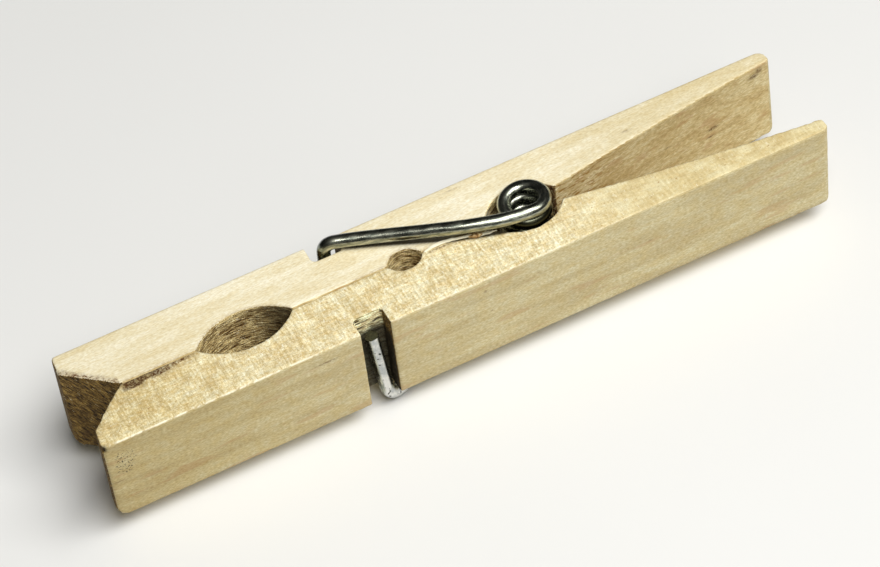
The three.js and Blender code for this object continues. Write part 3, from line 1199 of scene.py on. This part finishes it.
# The torn fibre and the chip are near white: pale fresh fibres, lifted with painted light where the arm shades
# them.
strand(
    "torn_fibre",
    [
        (34.0, 0.10, -0.08), (34.8, -0.04, 0.03), (35.9, -0.04, 0.06), (36.7, 0.15, 0.08),
        (37.5, 0.38, 0.08), (38.3, 0.59, 0.08), (38.9, 0.74, 0.04),
    ],
    widths=[0.16, 0.40, 0.44, 0.34, 0.28, 0.26, 0.16],
    thickness=0.20,
    material=looks["sawn_smooth"],
    seed=51,
    frayed=0.7,
)
strand(
    "torn_knot",
    [(38.2, 0.66, 0.04), (38.8, 0.86, 0.10), (39.4, 1.06, 0.04)],
    widths=[0.08, 0.40, 0.66, 0.40, 0.08],
    thickness=0.40,
    material=knot_wood,
    seed=57,
)
strand(
    "torn_chip",
    [(38.9, 0.78, 0.06), (39.4, 0.98, 0.06), (40.0, 1.16, 0.08), (40.7, 1.34, 0.14)],
    widths=[0.16, 0.36, 0.32, 0.10],
    thickness=0.14,
    material=looks["sawn_smooth"],
    seed=61,
    frayed=0.6,
)

# ---- floor, light and camera ----

FLOOR_TONES = [(0.3, (0.80, 0.80, 0.79, 1)), (0.7, (0.83, 0.83, 0.82, 1))]
FLOOR_REACH = 3.0
LIGHT_AIM = Vector((0, 0, 0.006))
WORLD = {"Color": (1.0, 0.985, 0.955, 1), "Strength": 0.02}


def floor_material():
    nodes = Nodes("floor")
    colour = nodes.ramp(nodes.noise((0.01, 0.01, 0.01)), FLOOR_TONES)
    return nodes.finish(colour, 0.9, {"Specular IOR Level": 0.1})


def add_floor():
    mesh = bpy.data.meshes.new("floor")
    corners = [(x * FLOOR_REACH, y * FLOOR_REACH, 0) for x, y in ((-1, -1), (1, -1), (1, 1), (-1, 1))]
    mesh.from_pydata(corners, [], [(0, 1, 2, 3)])
    mesh.materials.append(floor_material())
    new_object("floor", mesh)


def area_light(name, place, size, watts, colour):
    """A light that points at the middle of the object."""
    lamp = bpy.data.lights.new(name, "AREA")
    lamp.shape = "RECTANGLE"
    lamp.size, lamp.size_y = size
    lamp.energy = watts
    lamp.color = colour
    holder = bpy.data.objects.new(name, lamp)
    bpy.context.scene.collection.objects.link(holder)
    holder.location = place
    holder.rotation_euler = (LIGHT_AIM - Vector(place)).to_track_quat("-Z", "Y").to_euler()


def add_world():
    world = bpy.data.worlds.new("studio")
    bpy.context.scene.world = world
    world.use_nodes = True
    background = world.node_tree.nodes["Background"]
    for name, value in WORLD.items():
        background.inputs[name].default_value = value


# The aim and the distance are in millimetres of the object, the angles in degrees.
CAMERA = Named(aim=(-0.86, 0.03, 6.7), azimuth=-20.62, elevation=48.16, roll=-8.09, distance=323.0, lens=146.6)
SENSOR_WIDTH = 36.0
CLIP_START = 0.01


def add_camera():
    azimuth, elevation, roll = map(math.radians, (CAMERA.azimuth, CAMERA.elevation, CAMERA.roll))
    level = math.cos(elevation)
    back = Vector((math.sin(azimuth) * level, -math.cos(azimuth) * level, math.sin(elevation)))
    data = bpy.data.cameras.new("camera")
    data.lens = CAMERA.lens
    data.sensor_width = SENSOR_WIDTH
    data.clip_start = CLIP_START
    camera = bpy.data.objects.new("camera", data)
    camera.location = (Vector(CAMERA.aim) + back * CAMERA.distance) * MM
    camera.rotation_mode = "QUATERNION"
    camera.rotation_quaternion = (-back).to_track_quat("-Z", "Y") @ Quaternion((0, 0, 1), roll)
    bpy.context.scene.collection.objects.link(camera)
    bpy.context.scene.camera = camera


add_floor()
add_world()
area_light("key", (0.13, -0.23, 0.54), size=(0.58, 0.32), watts=4.80, colour=(1.0, 0.995, 0.97))
area_light("fill", (0.04, -0.52, 0.40), size=(0.35, 0.35), watts=0.35, colour=(1.0, 0.99, 0.97))
add_camera()
bpy.context.scene.view_settings.view_transform = "Standard"
